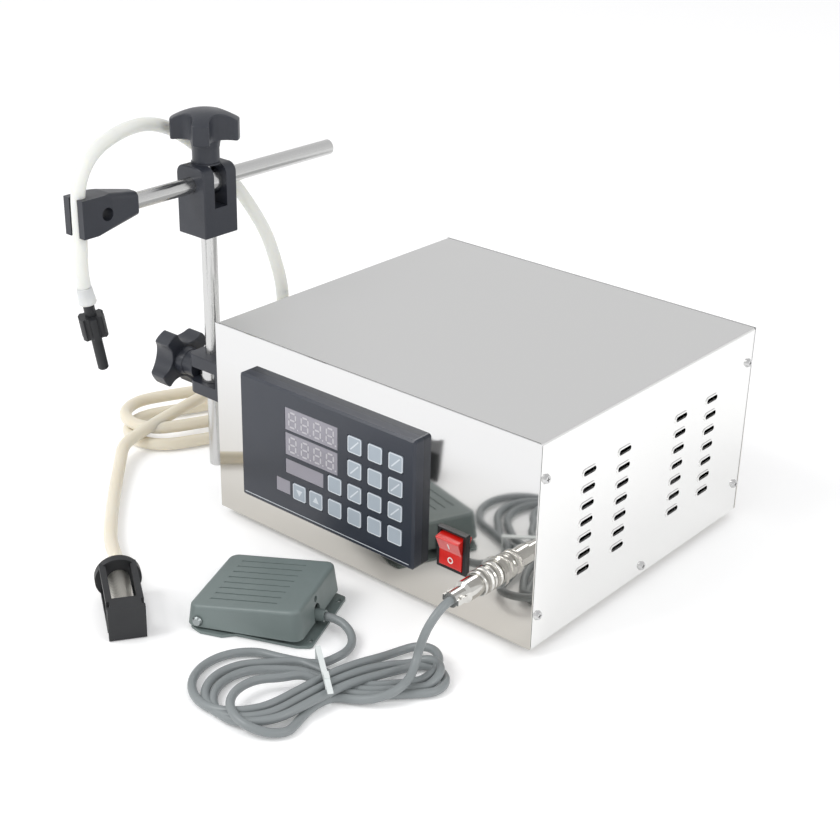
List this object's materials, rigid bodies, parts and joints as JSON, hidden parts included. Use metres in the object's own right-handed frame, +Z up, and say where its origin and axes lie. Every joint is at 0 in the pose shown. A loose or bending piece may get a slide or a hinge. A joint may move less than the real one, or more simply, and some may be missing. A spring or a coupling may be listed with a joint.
{
  "type": "liquid filling machine",
  "caption": "Bench-top liquid filler: steel cabinet with keypad and rocker switch, clamp stand holding a hose and nozzle, inlet hose with strainer, and a corded foot pedal.",
  "frame": {"origin": "on the table under the middle of the cabinet", "axes": "+X to the cabinet's right side (louvres), +Y to its rear, +Z up; keypad faces -Y"},
  "size_m": [0.4749, 0.4514, 0.2984],
  "materials": {
    "cover": "satin stainless sheet",
    "front_sheet": "mirror-polished stainless sheet",
    "screws": "bright plated",
    "feet": "matte black",
    "panel": "semi-gloss dark blue-grey",
    "display_windows": "unlit grey windows",
    "circuit_board": "green laminate",
    "bezel": "black",
    "rocker": "red translucent",
    "connector": "plated",
    "mains_inlet": "black moulding",
    "pump_head": "machined",
    "motor": "dark painted can",
    "supply": "plain case",
    "ports": "turned",
    "rods": "satin stainless bar",
    "stand_plastic": "dark blue-grey moulding",
    "nozzle": "black moulding",
    "outlet_hose": "translucent whitish silicone",
    "inlet_hose": "translucent cream silicone",
    "strainer": "black moulding",
    "mesh": "woven stainless",
    "pedal": "grey-green moulding",
    "pedal_pin": "dull plated",
    "microswitch": "black",
    "cable": "grey sheath",
    "cable_tie": "white nylon",
    "clamp_metal": "turned stainless",
    "keys": "pale grey-blue"
  },
  "bodies": {
    "cabinet": {"cover": "cover", "chassis": "front_sheet", "cover_screws": "screws", "feet": "feet", "panel_housing": "panel", "displays": "display_windows", "control_board": "circuit_board", "rocker_bezel": "bezel", "pedal_socket": "connector", "plug_shell": "connector", "mains_inlet": "mains_inlet", "pump_head": "pump_head", "pump_motor": "motor", "power_supply": "supply", "hose_ports": "ports", "stand_stub": "rods", "outlet_hose": "outlet_hose", "inlet_hose_lead": "inlet_hose", "inlet_hose_coil": "inlet_hose", "inlet_hose_tail": "inlet_hose", "strainer_cage": "strainer", "strainer_mesh": "mesh", "pedal_base": "pedal", "pedal_pin": "pedal_pin", "pedal_switch": "microswitch", "cable_lead": "cable", "cable_bundle": "cable", "pedal_lead": "cable", "cable_tie": "cable_tie", "lower_clamp": "stand_plastic", "lower_eye_bolt": "clamp_metal", "lower_spacer": "clamp_metal"},
    "key_12": {"key_12": "keys"},
    "key_13": {"key_13": "keys"},
    "key_14": {"key_14": "keys"},
    "key_22": {"key_22": "keys"},
    "key_23": {"key_23": "keys"},
    "key_24": {"key_24": "keys"},
    "key_31": {"key_31": "keys"},
    "key_32": {"key_32": "keys"},
    "key_33": {"key_33": "keys"},
    "key_34": {"key_34": "keys"},
    "key_41": {"key_41": "keys"},
    "key_42": {"key_42": "keys"},
    "key_43": {"key_43": "keys"},
    "key_44": {"key_44": "keys"},
    "key_down": {"key_down": "keys"},
    "key_up": {"key_up": "keys"},
    "rocker": {"rocker": "rocker"},
    "plug_ring": {"plug_ring": "connector"},
    "lower_knob": {"lower_knob": "stand_plastic"},
    "mast": {"mast": "rods"},
    "upper_clamp": {"upper_clamp": "stand_plastic", "upper_eye_bolt": "clamp_metal", "upper_spacer": "clamp_metal"},
    "upper_knob": {"upper_knob": "stand_plastic"},
    "arm": {"arm_rod": "rods"},
    "fork": {"hose_fork": "stand_plastic", "nozzle": "nozzle"},
    "treadle": {"pedal_treadle": "pedal"}
  },
  "joints": [
    {"name": "key_12_press", "type": "slide", "parent": "cabinet", "child": "key_12", "axis": [0, 1, 0], "range_m": [0, 0.0004], "stiffness_N_per_m": 3000, "springref_m": -0.0003},
    {"name": "key_13_press", "type": "slide", "parent": "cabinet", "child": "key_13", "axis": [0, 1, 0], "range_m": [0, 0.0004], "stiffness_N_per_m": 3000, "springref_m": -0.0003},
    {"name": "key_14_press", "type": "slide", "parent": "cabinet", "child": "key_14", "axis": [0, 1, 0], "range_m": [0, 0.0004], "stiffness_N_per_m": 3000, "springref_m": -0.0003},
    {"name": "key_22_press", "type": "slide", "parent": "cabinet", "child": "key_22", "axis": [0, 1, 0], "range_m": [0, 0.0004], "stiffness_N_per_m": 3000, "springref_m": -0.0003},
    {"name": "key_23_press", "type": "slide", "parent": "cabinet", "child": "key_23", "axis": [0, 1, 0], "range_m": [0, 0.0004], "stiffness_N_per_m": 3000, "springref_m": -0.0003},
    {"name": "key_24_press", "type": "slide", "parent": "cabinet", "child": "key_24", "axis": [0, 1, 0], "range_m": [0, 0.0004], "stiffness_N_per_m": 3000, "springref_m": -0.0003},
    {"name": "key_31_press", "type": "slide", "parent": "cabinet", "child": "key_31", "axis": [0, 1, 0], "range_m": [0, 0.0004], "stiffness_N_per_m": 3000, "springref_m": -0.0003},
    {"name": "key_32_press", "type": "slide", "parent": "cabinet", "child": "key_32", "axis": [0, 1, 0], "range_m": [0, 0.0004], "stiffness_N_per_m": 3000, "springref_m": -0.0003},
    {"name": "key_33_press", "type": "slide", "parent": "cabinet", "child": "key_33", "axis": [0, 1, 0], "range_m": [0, 0.0004], "stiffness_N_per_m": 3000, "springref_m": -0.0003},
    {"name": "key_34_press", "type": "slide", "parent": "cabinet", "child": "key_34", "axis": [0, 1, 0], "range_m": [0, 0.0004], "stiffness_N_per_m": 3000, "springref_m": -0.0003},
    {"name": "key_41_press", "type": "slide", "parent": "cabinet", "child": "key_41", "axis": [0, 1, 0], "range_m": [0, 0.0004], "stiffness_N_per_m": 3000, "springref_m": -0.0003},
    {"name": "key_42_press", "type": "slide", "parent": "cabinet", "child": "key_42", "axis": [0, 1, 0], "range_m": [0, 0.0004], "stiffness_N_per_m": 3000, "springref_m": -0.0003},
    {"name": "key_43_press", "type": "slide", "parent": "cabinet", "child": "key_43", "axis": [0, 1, 0], "range_m": [0, 0.0004], "stiffness_N_per_m": 3000, "springref_m": -0.0003},
    {"name": "key_44_press", "type": "slide", "parent": "cabinet", "child": "key_44", "axis": [0, 1, 0], "range_m": [0, 0.0004], "stiffness_N_per_m": 3000, "springref_m": -0.0003},
    {"name": "key_down_press", "type": "slide", "parent": "cabinet", "child": "key_down", "axis": [0, 1, 0], "range_m": [0, 0.0004], "stiffness_N_per_m": 3000, "springref_m": -0.0003},
    {"name": "key_up_press", "type": "slide", "parent": "cabinet", "child": "key_up", "axis": [0, 1, 0], "range_m": [0, 0.0004], "stiffness_N_per_m": 3000, "springref_m": -0.0003},
    {"name": "rocker_tilt", "type": "hinge", "parent": "cabinet", "child": "rocker", "pos_m": [0.08, -0.131, 0.056], "axis": [-1, 0, 0], "range_deg": [0, 24]},
    {"name": "plug_ring_turn", "type": "hinge", "parent": "cabinet", "child": "plug_ring", "pos_m": [0.1155, -0.143, 0.053], "axis": [0, -1, 0], "continuous": true},
    {"name": "lower_knob_turn", "type": "hinge", "parent": "cabinet", "child": "lower_knob", "pos_m": [-0.225, -0.097, 0.094], "axis": [-1, 0, 0], "continuous": true},
    {"name": "mast_slide", "type": "slide", "parent": "cabinet", "child": "mast", "axis": [0, 0, 1], "range_m": [-0.012, 0.06], "deforming": ["outlet_hose"]},
    {"name": "stand_swivel", "type": "hinge", "parent": "mast", "child": "upper_clamp", "pos_m": [-0.188, -0.097, 0.215], "axis": [0, 0, 1], "range_deg": [-90, 30], "deforming": ["outlet_hose"]},
    {"name": "upper_knob_turn", "type": "hinge", "parent": "upper_clamp", "child": "upper_knob", "pos_m": [-0.188, -0.097, 0.28], "axis": [0, 0, 1], "continuous": true},
    {"name": "arm_slide", "type": "slide", "parent": "upper_clamp", "child": "arm", "axis": [0, -1, 0], "range_m": [-0.02, 0.08], "deforming": ["outlet_hose"]},
    {"name": "fork_turn", "type": "hinge", "parent": "arm", "child": "fork", "pos_m": [-0.188, -0.19, 0.245], "axis": [0, 1, 0], "range_deg": [-30, 30], "deforming": ["outlet_hose"]},
    {"name": "treadle_press", "type": "hinge", "parent": "cabinet", "child": "treadle", "pos_m": [-0.05253, -0.21994, 0.0075], "axis": [-0.3827, 0.9239, 0], "range_deg": [0, 3], "stiffness_Nm_per_rad": 8, "springref_deg": -2.86}
  ]
}
